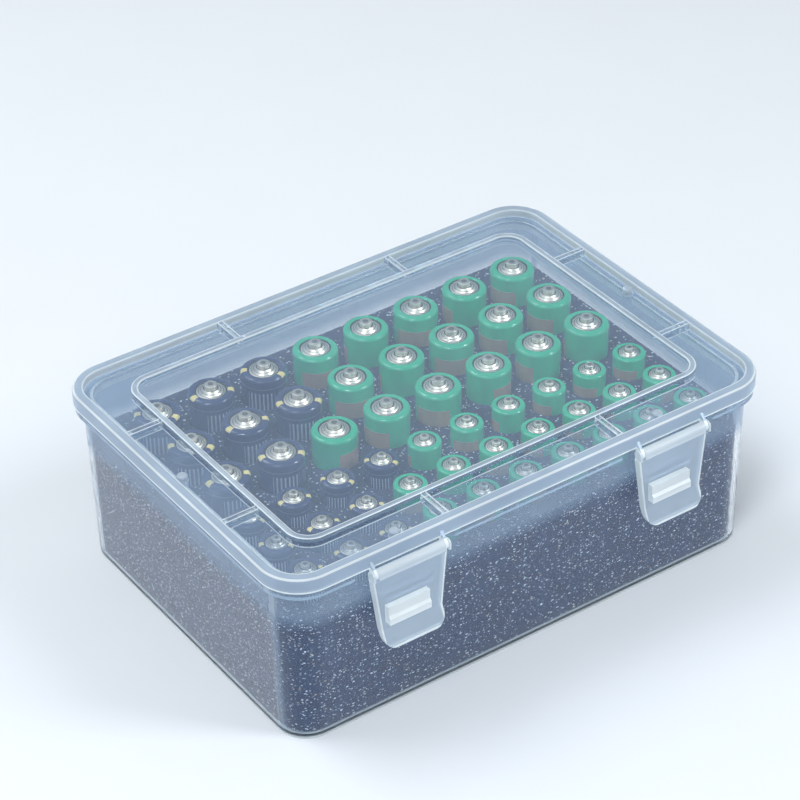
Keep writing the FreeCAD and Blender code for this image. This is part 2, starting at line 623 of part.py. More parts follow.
def makeCell(kind):
    """The five pieces of one cell, standing on its negative end."""
    radius, shoulder = size(kind + "_radius"), size(kind + "_shoulder")
    discTop = size(kind + "_length") - size(kind + "_nub_height")
    sleeveTop = discTop + size("sleeve_proud")
    sleeveInner = radius - size("sleeve_wall")
    canRadius = sleeveInner - size("nest_gap")
    canTop = sleeveTop - size("sleeve_wall") - size("nest_gap")
    canInner = canRadius - size("can_wall")
    opening = size(kind + "_opening")
    innerShoulder = shoulder - size("sleeve_wall")
    canShoulder = innerShoulder - size("nest_gap")
    sleeve = turned(kind + "_sleeve", [
        (sleeveInner, size("sleeve_lift")), (radius, size("sleeve_lift")),
        (radius, sleeveTop, shoulder), (opening, sleeveTop),
        (opening, sleeveTop - size("sleeve_wall")),
        (sleeveInner, sleeveTop - size("sleeve_wall"), innerShoulder)])
    can = turned(kind + "_can", [
        (nothing, nothing), (canRadius, nothing, size("can_wall")), (canRadius, canTop, canShoulder),
        (opening, canTop), (opening, canTop - size("can_wall")),
        (canInner, canTop - size("can_wall"), canShoulder - size("can_wall")),
        (canInner, size("can_wall")), (nothing, size("can_wall"))])
    discRadius = size(kind + "_disc")
    discUnder = discTop - size("disc_wall")
    sealRadius = canInner - size("nest_gap")
    sealTop = canTop - size("can_wall") - size("nest_gap") - canShoulder
    seal = turned(kind + "_seal", [
        (nothing, sealTop - size("seal_wall")), (sealRadius, sealTop - size("seal_wall")),
        (sealRadius, sealTop), (opening - size("nest_gap"), sealTop),
        (opening - size("nest_gap"), discUnder - size("nest_gap")),
        (nothing, discUnder - size("nest_gap"))])
    nub = size(kind + "_nub")
    corners = [(nothing, discUnder), (discRadius, discUnder), (discRadius, discTop)]
    level = discTop
    for slopeStart, slopeEnd, climb in capSteps:
        corners.append((discRadius * slopeStart, level))
        level = discTop + climb * size(kind + "_nub_height")
        corners.append((discRadius * slopeEnd, level))
    corners += [(nub, level), (nub, size(kind + "_length"), size("nub_round")),
                (nothing, size(kind + "_length"))]
    cap = turned(kind + "_cap", corners)
    coreTop = discTop - size("core_head") - canShoulder
    coreRadius = canInner - size("nest_gap")
    core = turned(kind + "_core", [
        (nothing, size("can_wall")), (coreRadius, size("can_wall")), (coreRadius, coreTop),
        (nothing, coreTop)])
    return {"sleeves": sleeve, "cans": can, "seals": seal, "caps": cap, "cores": core}


def spread(label, master, places, floor):
    """One node of separate solids: the master piece set down at every place."""
    copies = []
    for across, along in places:
        copies.append(master.Shape.translated(Vector(across.value, along.value, floor.value)))
    feature = doc.addObject("Part::Feature", label)
    feature.Shape = Part.makeCompound(copies)
    feature.Label = label
    return feature


def makeCells(kind, columns, rows, darkCounts):
    """All cells of one kind: the jackets' colours make two groups, which share their cores."""
    masters = makeCell(kind)
    places = cellPlaces(kind, columns, rows)
    floor = cellFloors[kind]
    isDark = [column < darkCounts[row] for row in range(rows) for column in range(columns)]
    groups = {"green": [place for place, dark in zip(places, isDark) if not dark],
              "dark": [place for place, dark in zip(places, isDark) if dark]}
    features = []
    for piece, master in masters.items():
        if piece == "cores":
            features.append(spread(f"{kind}_cores", master, places, floor))
            continue
        for colour, group in groups.items():
            features.append(spread(f"{kind}_{colour}_{piece}", master, group, floor))
    return features


pieces = [makeBox(), makeFoam(), makeLid()]
pieces.append(makeLatch("latch_left", latchPlaces[0]))
pieces.append(makeLatch("latch_right", latchPlaces[1]))
pieces += makeCells("aa", aaColumns, aaRows, aaDark)
pieces += makeCells("aaa", aaaColumns, aaaRows, aaaDark)
doc.recompute()

for item in doc.Objects:
    if "Invalid" in item.State or "Error" in item.State:
        raise ValueError(f"{item.Name} failed: {item.State}")

os.makedirs("parts", exist_ok=True)
for piece in pieces:
    if piece.Shape.isNull() or not piece.Shape.isValid():
        raise ValueError(f"{piece.Label} has no sound shape")
    piece.Shape.exportStep(f"parts/{piece.Label}.step")
    box = piece.Shape.BoundBox
    print(f"{piece.Label}: {len(piece.Shape.Solids)} solids, {piece.Shape.Volume:.0f} mm3, "
          f"x {box.XMin:.2f} {box.XMax:.2f} y {box.YMin:.2f} {box.YMax:.2f} z {box.ZMin:.2f} {box.ZMax:.2f}")
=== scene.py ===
import math

import bmesh
import bpy
from mathutils import Matrix, Vector, noise
from mathutils.geometry import delaunay_2d_cdt


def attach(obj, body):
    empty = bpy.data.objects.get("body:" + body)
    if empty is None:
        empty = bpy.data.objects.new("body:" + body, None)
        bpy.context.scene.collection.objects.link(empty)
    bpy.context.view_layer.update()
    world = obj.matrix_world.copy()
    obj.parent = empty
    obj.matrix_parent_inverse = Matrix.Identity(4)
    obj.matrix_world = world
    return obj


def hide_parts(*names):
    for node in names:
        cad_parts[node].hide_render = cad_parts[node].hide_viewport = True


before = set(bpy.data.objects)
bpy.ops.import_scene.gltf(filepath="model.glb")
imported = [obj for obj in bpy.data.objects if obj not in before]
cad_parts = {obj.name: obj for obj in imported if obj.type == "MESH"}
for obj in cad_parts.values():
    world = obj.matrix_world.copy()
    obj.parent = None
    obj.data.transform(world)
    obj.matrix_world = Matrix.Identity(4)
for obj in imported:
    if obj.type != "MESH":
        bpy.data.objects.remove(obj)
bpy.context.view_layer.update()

print("frame loaded:", len(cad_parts), "pieces")

mm = 0.001
turn = 2 * math.pi
noiseSpan = (0.3, 0.7)          # nearly all values of a noise texture lie between these
ofColours, ofNumbers = {"data_type": "RGBA"}, {"data_type": "FLOAT"}        # what a Mix node mixes


# sRGB hex to the linear colour that Blender's shaders work in
def linearColour(hexText):
    channels = [int(hexText[start:start + 2], 16) / 255 for start in (1, 3, 5)]
    return [c / 12.92 if c <= 0.04045 else ((c + 0.055) / 1.055) ** 2.4 for c in channels] + [1.0]


# Adds one node. settings are its own properties, inputs are values, hex colours or sockets to link
def addNode(tree, kind, settings=None, inputs=None):
    node = tree.nodes.new("ShaderNode" + kind)
    for name, value in (settings or {}).items():
        setattr(node, name, value)
    for name, value in (inputs or {}).items():
        if isinstance(value, bpy.types.NodeSocket):
            tree.links.new(value, node.inputs[name])
        elif isinstance(value, str):
            node.inputs[name].default_value = linearColour(value)
        else:
            node.inputs[name].default_value = value
    return node


def newMaterial(name):
    material = bpy.data.materials.new(name)
    material.use_nodes = True
    material.node_tree.nodes.clear()
    return material, material.node_tree


# The share where a value lies from low to high, and 0 elsewhere
def band(tree, value, low, high, share=1.0):
    near = addNode(tree, "Math", {"operation": "COMPARE"},
                   {0: value, 1: (low + high) / 2, 2: (high - low) / 2})
    return addNode(tree, "Math", {"operation": "MULTIPLY"}, {0: near.outputs[0], 1: share}).outputs[0]


# camera

camera = {
    "place": (-0.410561, -0.593569, 0.568097),                      # metres
    "azimuth": -34.3223, "elevation": 35.5216, "roll": -1.2729,     # degrees
    "lens": 133.66, "sensor": 36.0,                                 # mm
}


def makeCamera():
    azimuth, elevation, roll = (math.radians(camera[key]) for key in ("azimuth", "elevation", "roll"))
    forward = Vector((-math.sin(azimuth) * math.cos(elevation),
                      math.cos(azimuth) * math.cos(elevation), -math.sin(elevation)))
    level = Vector((math.cos(azimuth), math.sin(azimuth), 0))
    upright = level.cross(forward)
    right = level * math.cos(roll) + upright * math.sin(roll)
    up = upright * math.cos(roll) - level * math.sin(roll)
    facing = Matrix((right, up, -forward)).transposed().to_4x4()
    data = bpy.data.cameras.new("camera")
    data.lens = camera["lens"]
    data.sensor_width = camera["sensor"]
    item = bpy.data.objects.new("camera", data)
    item.matrix_world = Matrix.Translation(camera["place"]) @ facing
    bpy.context.scene.collection.objects.link(item)
    bpy.context.scene.camera = item


makeCamera()
print("camera set")


# polypropylene shells

# Haze is the share of one face's light that the resin scatters instead of passing
shell = {
    "milk": "#a8c0d9",          # what the cloudy resin scatters back: pale blue
    "thick": "#e6eff2",         # the same where the wall is thick, or seen along its length
    "whitens": (0.22, 0.6),     # haze between which the one turns into the other
    "clear": "#fafcfd",         # what is seen through one face of it
    "deep": "#93a7be",          # the same where it is cloudy
    "deepens": (0.06, 0.34),    # haze between which the one turns into the other
    "gloss": "#456798",         # dims and cools what the wall mirrors face on
    "shade": "#f4f7f9",         # what one face leaves of the light that passes
    "ior": 1.49, "milkRoughness": 0.35,
    "flow": 28.0, "flowSwing": (0.88, 1.12),    # mm, the resin clouds unevenly where it flowed
    "grain": 0.35, "grainHeight": 0.00015, "grainStrength": 0.3,    # mm, texture of the tool steel
}
# Zones are places on a moulding: what is measured, from and to in mm, and the haze there. A later
# zone covers an earlier one
box = {
    "haze": 0.042, "roughness": 0.012, "zones": (("foot", -1, 1.5, 0.6),),
    "head": (40.5, 46.0, 0.27),                 # above the foam: from, to, haze
    # a painted highlight: a light line where each upright corner runs into the side wall, drawn as more haze
    # there: the normal's x and y, haze
    "corner": (0.95, 1.0, 0.1, 0.28, 0.13),
}
lid = {
    "haze": 0.21, "roughness": 0.02,
    # rectangles that the rounded outlines are measured from: half length and half depth, mm
    "outlines": {"panel": (64.45, 40.4), "rim": (73.65, 49.2)},
    "endless": 1000,                            # their half height, so that only the outline counts
    "pegs": ((80.95, 0.0), (46.845, -56.5)),
    "zones": (
        ("across", 29.95, 32.05, 0.55), ("across", 30.4, 31.6, 0.2),
        ("along", 24.75, 26.85, 0.55), ("along", 25.2, 26.4, 0.2),
        ("panel", -1, 7.9, 0.65), ("panel", 6.25, 7.5, 0.36), ("panel", -1, 5.8, 0.125),
        ("rim", 9.7, 99, 0.37), ("rim", 9.6, 10.2, 0.55), ("rim", 12.35, 12.95, 0.6),
        ("height", 0, 57.15, 0.7), ("peg", -1, 1.8, 0.42),
    ),
}
latch = {
    "haze": 0.4, "roughness": 0.07, "place": 46.845,
    "sides": (34.9, 10.4, 52.7, 12.5),          # height and the plate's half width there, twice
    "gripMiddle": (-1.85, -66.0, 40.55), "gripHalf": (7.1, 1.7, 3.05),
    "zones": (
        ("side", -0.6, 9, 0.66), ("height", 0, 29.7, 0.66), ("height", 53.9, 99, 0.55),
        ("grip", -1, 0.05, 0.72),
    ),
}


# How far a point lies outside a box, given in mm: equal distances make rounded outlines
def reachBeyond(tree, place, middle, half):
    offset = addNode(tree, "VectorMath", {"operation": "SUBTRACT"}, {0: place, 1: Vector(middle) * mm})
    parts = addNode(tree, "VectorMath", {"operation": "ABSOLUTE"}, {0: offset.outputs[0]})
    beyond = addNode(tree, "VectorMath", {"operation": "SUBTRACT"},
                     {0: parts.outputs[0], 1: Vector(half) * mm})
    kept = addNode(tree, "VectorMath", {"operation": "MAXIMUM"}, {0: beyond.outputs[0], 1: (0, 0, 0)})
    return addNode(tree, "VectorMath", {"operation": "LENGTH"}, {0: kept.outputs[0]}).outputs["Value"]


def layZones(tree, measures, zones, haze):
    for name, low, high, share in zones:
        mask = band(tree, measures[name], low * mm, high * mm)
        haze = addNode(tree, "Mix", ofNumbers, {0: mask, 2: haze, 3: share}).outputs[0]
    return haze


# x, y and z of a vector, with x and y counted from the middle both ways
def foldedPlace(tree, place):
    parts = addNode(tree, "SeparateXYZ", None, {0: place})
    across = addNode(tree, "Math", {"operation": "ABSOLUTE"}, {0: parts.outputs[0]})
    along = addNode(tree, "Math", {"operation": "ABSOLUTE"}, {0: parts.outputs[1]})
    return across.outputs[0], along.outputs[0], parts.outputs[2]


def boxHaze(tree, place):
    height = addNode(tree, "SeparateXYZ", None, {0: place}).outputs[2]
    low, high, most = box["head"]
    head = addNode(tree, "MapRange", None, {0: height, 1: low * mm, 2: high * mm, 3: box["haze"], 4: most})
    haze = layZones(tree, {"foot": height}, box["zones"], head.outputs[0])
    # painted highlight at the upright corners: more haze where the normal turns a little away from the side
    # wall
    sideways, endways = foldedPlace(tree, addNode(tree, "NewGeometry").outputs["Normal"])[:2]
    lowX, highX, lowY, highY, more = box["corner"]
    corner = band(tree, endways, lowY, highY, band(tree, sideways, lowX, highX, more))
    return addNode(tree, "Math", {"operation": "ADD"}, {0: haze, 1: corner}).outputs[0]


def lidHaze(tree, place):
    across, along, height = foldedPlace(tree, place)
    measures = {"across": across, "along": along, "height": height}
    for name, half in lid["outlines"].items():
        measures[name] = reachBeyond(tree, place, (0, 0, 0), (*half, lid["endless"]))
    # the pegs mirror left to right, but stand at the front only
    alongside = addNode(tree, "SeparateXYZ", None, {0: place}).outputs[1]
    halved = addNode(tree, "CombineXYZ", None, {0: across, 1: alongside}).outputs[0]
    first, second = (reachBeyond(tree, halved, (*peg, 0), (0, 0, 0)) for peg in lid["pegs"])
    measures["peg"] = addNode(tree, "Math", {"operation": "MINIMUM"}, {0: first, 1: second}).outputs[0]
    return layZones(tree, measures, lid["zones"], lid["haze"])


def latchHaze(tree, place):
    across, height = foldedPlace(tree, place)[::2]
    apart = addNode(tree, "Math", {"operation": "SUBTRACT"}, {0: across, 1: latch["place"] * mm})
    apart = addNode(tree, "Math", {"operation": "ABSOLUTE"}, {0: apart.outputs[0]})
    low, narrow, high, wide = (size * mm for size in latch["sides"])
    half = addNode(tree, "MapRange", None, {0: height, 1: low, 2: high, 3: narrow, 4: wide})
    side = addNode(tree, "Math", {"operation": "SUBTRACT"}, {0: apart.outputs[0], 1: half.outputs[0]})
    offset, front, level = latch["gripMiddle"]
    left, right = (reachBeyond(tree, place, (sign * latch["place"] + offset, front, level), latch["gripHalf"])
                   for sign in (-1, 1))
    grip = addNode(tree, "Math", {"operation": "MINIMUM"}, {0: left, 1: right})
    measures = {"side": side.outputs[0], "height": height, "grip": grip.outputs[0]}
    return layZones(tree, measures, latch["zones"], latch["haze"])


# Natural polypropylene, injection moulded: cloudy and bluish, clear enough to see through, softly
# glossy, and whiter where the wall is thick or seen along its length
def mouldedPolypropylene(name, hazeMap, piece):
    material, tree = newMaterial(name)
    place = addNode(tree, "TexCoord").outputs["Object"]
    haze = hazeMap(tree, place)
    flow = addNode(tree, "TexNoise", None,
                   {"Vector": place, "Scale": 1 / (shell["flow"] * mm), "Detail": 3.0})
    (low, high), (least, most) = noiseSpan, shell["flowSwing"]
    uneven = addNode(tree, "MapRange", None, {0: flow.outputs[0], 1: low, 2: high, 3: least, 4: most})
    cloud = addNode(tree, "Math", {"operation": "MULTIPLY"}, {0: uneven.outputs[0], 1: haze})
    grain = addNode(tree, "TexNoise", None, {"Vector": place, "Scale": 1 / (shell["grain"] * mm)})
    fine = addNode(tree, "Bump", None, {
        "Strength": shell["grainStrength"], "Distance": shell["grainHeight"] * mm,
        "Height": grain.outputs[0]}).outputs[0]
    tints = []
    for span, pale, full in (("whitens", "milk", "thick"), ("deepens", "clear", "deep")):
        low, high = shell[span]
        share = addNode(tree, "MapRange", None, {0: haze, 1: low, 2: high}).outputs[0]
        tints.append(addNode(tree, "Mix", ofColours, {0: share, 6: shell[pale], 7: shell[full]}).outputs[2])
    milk = addNode(tree, "BsdfPrincipled", None, {
        "Base Color": tints[0], "Roughness": shell["milkRoughness"], "IOR": shell["ior"], "Normal": fine})
    pane = addNode(tree, "BsdfPrincipled", None, {
        "Base Color": tints[1], "Roughness": piece["roughness"], "IOR": shell["ior"],
        "Specular Tint": shell["gloss"], "Transmission Weight": 1.0, "Normal": fine})
    resin = addNode(tree, "MixShader", None, {0: cloud.outputs[0], 1: pane.outputs[0], 2: milk.outputs[0]})
    # light on its way in passes straight through, so what lies inside is lit
    path = addNode(tree, "LightPath")
    onward = addNode(tree, "Math", {"operation": "MAXIMUM"},
                     {0: path.outputs["Is Shadow Ray"], 1: path.outputs["Is Diffuse Ray"]})
    passed = addNode(tree, "BsdfTransparent", None, {"Color": shell["shade"]})
    seen = addNode(tree, "MixShader", None, {0: onward.outputs[0], 1: resin.outputs[0], 2: passed.outputs[0]})
    addNode(tree, "OutputMaterial", None, {"Surface": seen.outputs[0]})
    return material


# cells

cells = {
    # mm, in the grid of the holes in the foam, back row first. top is the sleeve's top edge, disc
    # the cap's radius, and bandShare scales the printed heights
    "aa": {"columns": 8, "pitch": (18.795, 19.162), "backRow": 39.445, "top": 53.2,
           "radius": 7.1, "disc": 4.45, "bandShare": 1.0},
    "aaa": {"columns": 10, "pitch": (15.381, 14.675), "backRow": -15.738, "top": 50.06,
            "radius": 5.15, "disc": 3.15, "bandShare": 0.8},
}
# Prints, bottom layer first: colour, strength, and where. Around and stripes are in shares of a
# turn and of a stripe, depth is mm below the sleeve's top edge, reach is in shares of the radius.
# Each cell is turned by its own share of a turn out of swing, picked by seed
sleeves = {
    "green": {
        "seed": 8.0, "swing": (0.02, 0.56), "stripes": 1.0, "ground": "#04bd8b",
        "print": (
            ("#c08a7a", 0.8, {"around": (0.74, 0.995), "depth": (5.0, 60)}),
            ("#c8dcd6", 0.6, {"around": (0.76, 0.97), "depth": (4.85, 5.05)}),
        ),
    },
    "dark": {
        "seed": 3.0, "swing": (0.68, 0.88), "stripes": 36.0, "ground": "#263763",
        "print": (
            ("#5b6b80", 0.8, {"around": (0.56, 0.8), "depth": (4.6, 60)}),
            ("#b9c4d6", 0.85, {"around": (0.34, 0.53), "stripes": (0.0, 0.42), "depth": (4.6, 60)}),
            ("#aebacd", 0.5, {"around": (0.2, 0.7), "depth": (3.0, 3.2)}),
            ("#f4e294", 1.0, {"around": (0.19, 0.24), "reach": (0.71, 2), "depth": (-1, 0.8)}),
            ("#f4e294", 1.0, {"around": (0.6, 0.65), "reach": (0.71, 2), "depth": (-1, 0.8)}),
        ),
    },
}
film = {
    "ior": 1.53, "roughness": (0.12, 0.19), "coatRoughness": 0.04,
    "wear": 3.0,                                                    # mm, patches of that roughness
    "pull": 2.5, "pullHeight": 0.012, "pullStrength": 0.4,          # mm, ripples from the shrinking
}
steel = {
    # the darkest tone is painted shade, for the rings below
    "nickel": "#f2ecdc", "dull": "#d6d3c8", "paintedShade": "#3c4042",
    "roughness": {"cap": 0.42, "can": 0.34}, "roughnessSwing": 0.05, "smudge": 3.0,
    # painted shade: darker rings round the nub's foot and at the edges of the steps, and a darker middle on
    # the nub's top: from and to in shares of the disc, and how dark
    "paintedShadeRings": ((-1, 0.2, 0.6), (0.45, 0.51, 1.0), (0.66, 0.7, 0.7), (0.83, 0.87, 0.6)),
    "press": 0.35, "pressHeight": 0.006, "pressStrength": 0.2,      # mm, faint rings from the press
    "roll": 0.4, "rollHeight": 0.16,                                # mm, the disc's rolled edge
}
# Plain matt stuffs: two tones, the size of their grain in mm
nylon = {"name": "moulded nylon", "tones": ("#0b0d0f", "#171b1e"), "grain": 0.4, "detail": 2.0,
         "roughness": 0.55, "ior": 1.53}
powder = {"name": "pressed powder", "tones": ("#1a1a1a", "#2e2d2b"), "grain": 0.6, "detail": 4.0,
          "roughness": 0.9, "ior": 1.5}


# Where a point lies on its own cell: angle in turns, distance from the axis, height, and a random number
def cellFrame(tree, cell, seed=0.0):
    place = addNode(tree, "TexCoord").outputs["Object"]
    flat = addNode(tree, "SeparateXYZ", None, {0: place})
    counts, offsets = [], []
    pitchX, pitchY = (size * mm for size in cell["pitch"])
    for axis, scale, start, step in ((0, 1 / pitchX, (cell["columns"] - 1) / 2, pitchX),
                                     (1, -1 / pitchY, cell["backRow"] * mm / pitchY, -pitchY)):
        count = addNode(tree, "Math", {"operation": "MULTIPLY_ADD"},
                        {0: flat.outputs[axis], 1: scale, 2: start}).outputs[0]
        whole = addNode(tree, "Math", {"operation": "ROUND"}, {0: count}).outputs[0]
        part = addNode(tree, "Math", {"operation": "SUBTRACT"}, {0: count, 1: whole}).outputs[0]
        counts.append(whole)
        offsets.append(addNode(tree, "Math", {"operation": "MULTIPLY"}, {0: part, 1: step}).outputs[0])
    which = addNode(tree, "CombineXYZ", None, {0: counts[0], 1: counts[1], 2: seed}).outputs[0]
    chance = addNode(tree, "TexWhiteNoise", None, {"Vector": which}).outputs["Value"]
    across = addNode(tree, "CombineXYZ", None, {0: offsets[0], 1: offsets[1]}).outputs[0]
    reach = addNode(tree, "VectorMath", {"operation": "LENGTH"}, {0: across}).outputs["Value"]
    angle = addNode(tree, "Math", {"operation": "ARCTAN2"}, {0: offsets[1], 1: offsets[0]}).outputs[0]
    angle = addNode(tree, "Math", {"operation": "DIVIDE"}, {0: angle, 1: turn}).outputs[0]
    return {"angle": angle, "reach": reach, "height": flat.outputs[2], "chance": chance, "place": place}


# Heat-shrunk PVC sleeve, printed: smooth and glossy, its edge drawn tight over the shoulder
def shrunkSleeve(name, cell, look):
    material, tree = newMaterial(name)
    where = cellFrame(tree, cell, look["seed"])
    low, high = look["swing"]
    swing = addNode(tree, "MapRange", None, {0: where["chance"], 3: low, 4: high}).outputs[0]
    start = addNode(tree, "Math", {"operation": "ADD"}, {0: where["angle"], 1: swing}).outputs[0]
    around = addNode(tree, "Math", {"operation": "FRACT"}, {0: start}).outputs[0]
    stripes = addNode(tree, "Math", {"operation": "MULTIPLY"}, {0: around, 1: look["stripes"]}).outputs[0]
    stripes = addNode(tree, "Math", {"operation": "FRACT"}, {0: stripes}).outputs[0]
    depth = addNode(tree, "Math", {"operation": "SUBTRACT"},
                    {0: cell["top"] * mm, 1: where["height"]}).outputs[0]
    measures = {"around": around, "stripes": stripes, "depth": depth, "reach": where["reach"]}
    units = {"around": 1, "stripes": 1, "depth": mm * cell["bandShare"], "reach": mm * cell["radius"]}
    colour = look["ground"]
    for tint, strength, limits in look["print"]:
        mask = strength
        for measure, (low, high) in limits.items():
            mask = band(tree, measures[measure], low * units[measure], high * units[measure], mask)
        colour = addNode(tree, "Mix", ofColours, {0: mask, 6: colour, 7: tint}).outputs[2]
    wear = addNode(tree, "TexNoise", None, {"Vector": where["place"], "Scale": 1 / (film["wear"] * mm)})
    least, most = film["roughness"]
    rough = addNode(tree, "MapRange", None, {0: wear.outputs[0], 3: least, 4: most})
    pull = addNode(tree, "TexNoise", None,
                   {"Vector": where["place"], "Scale": 1 / (film["pull"] * mm), "Detail": 1.0})
    ripple = addNode(tree, "Bump", None, {
        "Strength": film["pullStrength"], "Distance": film["pullHeight"] * mm, "Height": pull.outputs[0]})
    skin = addNode(tree, "BsdfPrincipled", None, {
        "Base Color": colour, "Roughness": rough.outputs[0], "IOR": film["ior"], "Coat Weight": 1.0,
        "Coat Roughness": film["coatRoughness"], "Normal": ripple.outputs[0]})
    addNode(tree, "OutputMaterial", None, {"Surface": skin.outputs[0]})
    return material


# Nickel-plated steel, deep drawn: a bright warm grey with faint rings from the press, darker rings of
# painted shade round the nub and its steps, and a disc whose rolled edge catches the light
def platedSteel(name, cell, roughness):
    material, tree = newMaterial(name)
    where = cellFrame(tree, cell)
    reach, disc = where["reach"], cell["disc"]
    rings = addNode(tree, "Math", {"operation": "MULTIPLY"}, {0: reach, 1: turn / (steel["press"] * mm)})
    rings = addNode(tree, "Math", {"operation": "SINE"}, {0: rings.outputs[0]})
    smudge = addNode(tree, "TexNoise", None,
                     {"Vector": where["place"], "Scale": 1 / (steel["smudge"] * mm)}).outputs[0]
    rough = addNode(tree, "MapRange", None, {
        0: smudge, 3: roughness - steel["roughnessSwing"], 4: roughness + steel["roughnessSwing"]})
    colour = addNode(tree, "Mix", ofColours, {0: smudge, 6: steel["nickel"], 7: steel["dull"]}).outputs[2]
    # painted shade: darker rings round the nub and at the steps of the cap
    for low, high, share in steel["paintedShadeRings"]:
        paintedRing = band(tree, reach, low * disc * mm, high * disc * mm, share)
        colour = addNode(tree, "Mix", ofColours, {0: paintedRing, 6: colour, 7: steel["paintedShade"]}).outputs[2]
    press = addNode(tree, "Bump", None, {
        "Strength": steel["pressStrength"], "Distance": steel["pressHeight"] * mm,
        "Height": rings.outputs[0]})
    edge = addNode(tree, "MapRange", {"interpolation_type": "SMOOTHSTEP"},
                   {0: reach, 1: (disc - steel["roll"]) * mm, 2: disc * mm, 3: 1.0, 4: 0.0})
    rolled = addNode(tree, "Bump", None, {
        "Strength": 1.0, "Distance": steel["rollHeight"] * mm, "Height": edge.outputs[0],
        "Normal": press.outputs[0]})
    metal = addNode(tree, "BsdfPrincipled", None, {
        "Base Color": colour, "Metallic": 1.0, "Roughness": rough.outputs[0], "Normal": rolled.outputs[0]})
    addNode(tree, "OutputMaterial", None, {"Surface": metal.outputs[0]})
    return material


# Moulded nylon is nearly black in the groove round the disc, pressed powder is black and dusty
def mattStuff(look):
    material, tree = newMaterial(look["name"])
    place = addNode(tree, "TexCoord").outputs["Object"]
    grain = addNode(tree, "TexNoise", None,
                    {"Vector": place, "Scale": 1 / (look["grain"] * mm), "Detail": look["detail"]})
    dark, light = look["tones"]
    colour = addNode(tree, "Mix", ofColours, {0: grain.outputs[0], 6: dark, 7: light})
    matt = addNode(tree, "BsdfPrincipled", None, {
        "Base Color": colour.outputs[2], "Roughness": look["roughness"], "IOR": look["ior"]})
    addNode(tree, "OutputMaterial", None, {"Surface": matt.outputs[0]})
    return material


def dress(node, material):
    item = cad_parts[node]
    item.data.materials.clear()
    item.data.materials.append(material)


dress("base_box", mouldedPolypropylene("polypropylene box", boxHaze, box))
dress("lid", mouldedPolypropylene("polypropylene lid", lidHaze, lid))
latchResin = mouldedPolypropylene("polypropylene latch", latchHaze, latch)
dress("latch_left", latchResin)
dress("latch_right", latchResin)
sealNylon, filling = mattStuff(nylon), mattStuff(powder)
for kind, cell in cells.items():
    cap, can = (platedSteel(f"nickel plated {part} {kind}", cell, steel["roughness"][part])
                for part in ("cap", "can"))
    for colour, look in sleeves.items():
        dress(f"{kind}_{colour}_sleeves", shrunkSleeve(f"shrunk pvc {colour} {kind}", cell, look))
        dress(f"{kind}_{colour}_caps", cap)
        dress(f"{kind}_{colour}_cans", can)
        dress(f"{kind}_{colour}_seals", sealNylon)
    dress(f"{kind}_cores", filling)
print("shells and cells dressed")


# foam insert

foam = {                                        # sizes in mm
    "top": 43.0, "bottom": 1.8,
    "topHalf": (82.14, 57.69), "topCorner": 9.63,
    "bottomHalf": (81.07, 56.62), "bottomCorner": 7.85,
    "edge": 0.8, "edgeMiddle": 0.24,            # rounding of the cut edges, and its middle point
    "holes": {"aa": (3, 7.2, 4.95, 48), "aaa": (3, 5.25, 7.21, 36)},    # rows, radius, floor, sides
    "mouth": 0.45,                              # how much wider a hole is in the top face
    "mouthRings": ((0.14, 0.12, 1), (0.0, 0.5, 1)),     # below it: wider by, depth, share of the waves
    "chord": 0.05,                              # more than a hole's straight sides cut off its circle
    "outline": (26, 38), "cornerSteps": 10,     # steps along a short side, a long side and a corner
    "sideRings": (4.0, 4.5, 8),                 # depth of the first ring down the sides, step, count
    "grid": 3.5, "clear": 1.2,                  # points between the holes: spacing, room round them
    "cornerRoom": 8.0,                          # no points so near to a corner of the block
    # unevenness of the cut faces: width of the waves, height, and how far they are sunk in
    "waves": {"top": (9.0, 0.13, 0.06), "side": (7.0, 0.091, 0.09)},
    "body": "#1a2747", "cellWall": "#2c3d63", "pale": "#e9f1fb", "warm": "#c3ad90",
    "patch": 6.0, "patchShare": 0.6,            # paler patches: size, and how pale
    # colour, spacing and radius, shift of the pattern, and how the flecks lie: a fleck is longer
    # along an axis where its number is low
    "flecks": (
        ("pale", 1.15, 0.25, 0.0, (0.55, 0.95, 1.35)), ("pale", 0.9, 0.21, 0.113, (0.95, 0.55, 1.35)),
        ("warm", 1.9, 0.25, 0.37, (0.6, 0.6, 1.3)),
    ),
    "fleckFades": (0.3, 0.95),                  # random numbers of the faintest and the brightest
    "pores": 0.9, "poreDepth": 0.12, "poreStrength": 0.7,
    "roughness": 0.8, "sheen": 0.15, "ior": 1.5,
}


def roundedRectangle(halfX, halfY, radius):
    points = []
    arms = foam["cornerSteps"]
    for corner, (signX, signY) in enumerate(((1, -1), (1, 1), (-1, 1), (-1, -1))):
        centre = Vector((signX * (halfX - radius), signY * (halfY - radius)))
        for arm in range(arms + 1):
            angle = math.radians(-90 + 90 * corner + 90 * arm / arms)
            points.append(centre + Vector((math.cos(angle), math.sin(angle))) * radius)
        straight = 2 * ((halfY, halfX)[corner % 2] - radius)
        count = foam["outline"][corner % 2]
        heading = Vector((-math.sin(angle), math.cos(angle)))
        last = points[-1].copy()
        for part in range(1, count):
            points.append(last + heading * straight * part / count)
    return points


# The block's outline at a height, drafted, and drawn in by inset
def skinRing(height, inset):
    share = (height - foam["bottom"]) / (foam["top"] - foam["bottom"])
    halfX, halfY = (low + (high - low) * share - inset
                    for low, high in zip(foam["bottomHalf"], foam["topHalf"]))
    corner = foam["bottomCorner"] + (foam["topCorner"] - foam["bottomCorner"]) * share - inset
    return roundedRectangle(halfX, halfY, corner)


def circlePoints(centre, radius, sides):
    return [centre + Vector((math.cos(turn * k / sides), math.sin(turn * k / sides))) * radius
            for k in range(sides)]


